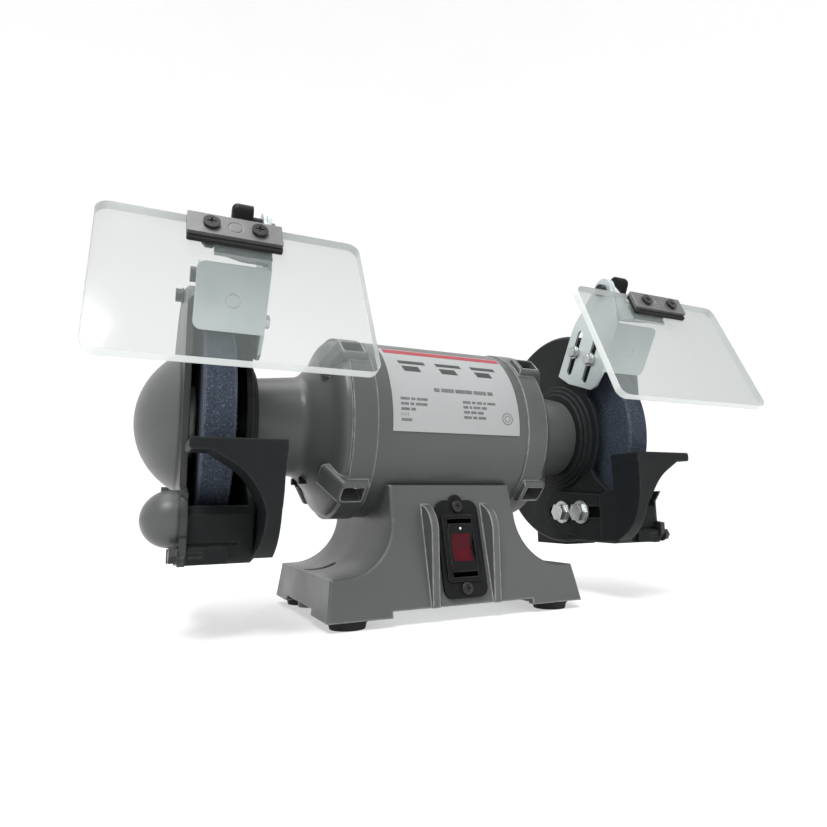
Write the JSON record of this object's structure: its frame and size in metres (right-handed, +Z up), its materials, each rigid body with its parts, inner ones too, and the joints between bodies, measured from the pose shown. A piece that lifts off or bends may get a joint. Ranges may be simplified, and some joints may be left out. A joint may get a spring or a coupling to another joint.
{
  "type": "bench grinder",
  "caption": "Double-ended bench grinder with motor on a cast pedestal, guarded wheels, sliding tool rests, spark deflectors and tilting eye shields.",
  "frame": {"origin": "centre of the two bench mounting slots, on the underside plane of the cast base, straight below the motor axis", "axes": "+X along the motor axis to the user's right, +Y to the back, +Z up; the user stands on the -Y side"},
  "size_m": [0.465, 0.2313, 0.2626],
  "materials": {
    "grey_paint": "satin grey paint",
    "charcoal_paint": "dark charcoal painted iron, matt",
    "abrasive": "blue-grey vitrified grit",
    "blotter_paper": "rough paper disc",
    "zinc_plate": "pale zinc plating",
    "zinc_bolt": "zinc plating",
    "bar_steel": "mid-grey brushed steel",
    "black_screw": "black oxide",
    "black_plastic": "matt black moulding",
    "switch_gloss": "glossy black moulding",
    "red_lens": "glossy crimson lens",
    "rubber_black": "matt black rubber",
    "clear_shield": "clear polished plastic sheet",
    "label_foil": "silver foil label",
    "ground_steel": "ground steel",
    "electrical_steel": "laminated steel",
    "copper_coil": "varnished copper wire",
    "capacitor_case": "black plastic case"
  },
  "bodies": {
    "base": {"base_casting": "grey_paint", "base_bottom_plate": "zinc_plate", "base_plate_screws": "zinc_bolt", "rubber_feet": "rubber_black", "foot_screws": "black_screw", "cord_gland": "black_plastic", "capacitor": "capacitor_case", "capacitor_strap": "zinc_plate", "switch_plate": "black_plastic", "switch_screws": "black_screw", "switch_housing": "switch_gloss", "motor_shell": "grey_paint", "motor_mount_bolts": "zinc_bolt", "nameplate": "label_foil", "stator_core": "electrical_steel", "stator_windings": "copper_coil", "end_bell_left": "grey_paint", "end_bell_right": "grey_paint", "through_bolts": "zinc_bolt", "through_bolt_nuts": "zinc_bolt", "bearings": "ground_steel", "wave_washers": "ground_steel", "start_switch": "black_plastic", "wheel_guard_left": "charcoal_paint", "wheel_guard_right": "charcoal_paint", "guard_screws": "zinc_bolt", "outer_cover_left": "grey_paint", "outer_cover_right": "grey_paint", "cover_screws": "black_screw", "tool_rest_bolts": "zinc_bolt", "deflector_bolts": "zinc_bolt"},
    "rotor": {"shaft": "ground_steel", "rotor_core": "electrical_steel", "centrifugal_governor": "electrical_steel", "wheel_left": "abrasive", "wheel_right": "abrasive", "wheel_blotters": "blotter_paper", "inner_flanges": "zinc_plate", "outer_flanges": "zinc_plate", "spindle_nuts": "zinc_bolt"},
    "rocker": {"switch_rocker": "switch_gloss", "rocker_lens": "red_lens"},
    "tool_rest_left": {"tool_rest_left": "charcoal_paint"},
    "deflector_left": {"spark_deflector_left": "zinc_plate", "deflector_screws_left": "black_screw"},
    "shield_left": {"shield_bracket_left": "zinc_plate", "clamp_bar_left": "bar_steel", "rubber_strip_left": "rubber_black", "clamp_screws_left": "black_screw", "eye_shield_left": "clear_shield"},
    "knob_left": {"shield_knob_left": "black_plastic"},
    "tool_rest_right": {"tool_rest_right": "charcoal_paint"},
    "deflector_right": {"spark_deflector_right": "zinc_plate", "deflector_screws_right": "black_screw"},
    "shield_right": {"shield_bracket_right": "zinc_plate", "clamp_bar_right": "bar_steel", "rubber_strip_right": "rubber_black", "clamp_screws_right": "black_screw", "eye_shield_right": "clear_shield"},
    "knob_right": {"shield_knob_right": "black_plastic"}
  },
  "joints": [
    {"name": "spindle_spin", "type": "hinge", "parent": "base", "child": "rotor", "pos_m": [0, 0, 0.129], "axis": [1, 0, 0], "continuous": true},
    {"name": "rocker_tilt", "type": "hinge", "parent": "base", "child": "rocker", "pos_m": [0, -0.06024, 0.03947], "axis": [1, 0, 0], "range_deg": [-8, 8]},
    {"name": "tool_rest_left_slide", "type": "slide", "parent": "base", "child": "tool_rest_left", "axis": [0, 1, 0], "range_m": [-0.015, 0.004]},
    {"name": "deflector_left_slide", "type": "slide", "parent": "base", "child": "deflector_left", "axis": [0, -0.5, 0.866], "range_m": [-0.004, 0.015]},
    {"name": "shield_left_tilt", "type": "hinge", "parent": "deflector_left", "child": "shield_left", "pos_m": [-0.141, -0.07202, 0.24434], "axis": [1, 0, 0], "range_deg": [-60, 5]},
    {"name": "knob_left_turn", "type": "hinge", "parent": "deflector_left", "child": "knob_left", "pos_m": [-0.15, -0.07202, 0.24434], "axis": [1, 0, 0], "range_deg": [-180, 180]},
    {"name": "tool_rest_right_slide", "type": "slide", "parent": "base", "child": "tool_rest_right", "axis": [0, 1, 0], "range_m": [-0.015, 0.004]},
    {"name": "deflector_right_slide", "type": "slide", "parent": "base", "child": "deflector_right", "axis": [0, -0.5, 0.866], "range_m": [-0.004, 0.015]},
    {"name": "shield_right_tilt", "type": "hinge", "parent": "deflector_right", "child": "shield_right", "pos_m": [0.141, -0.07202, 0.24434], "axis": [1, 0, 0], "range_deg": [-60, 5]},
    {"name": "knob_right_turn", "type": "hinge", "parent": "deflector_right", "child": "knob_right", "pos_m": [0.15, -0.07202, 0.24434], "axis": [1, 0, 0], "range_deg": [-180, 180]}
  ]
}
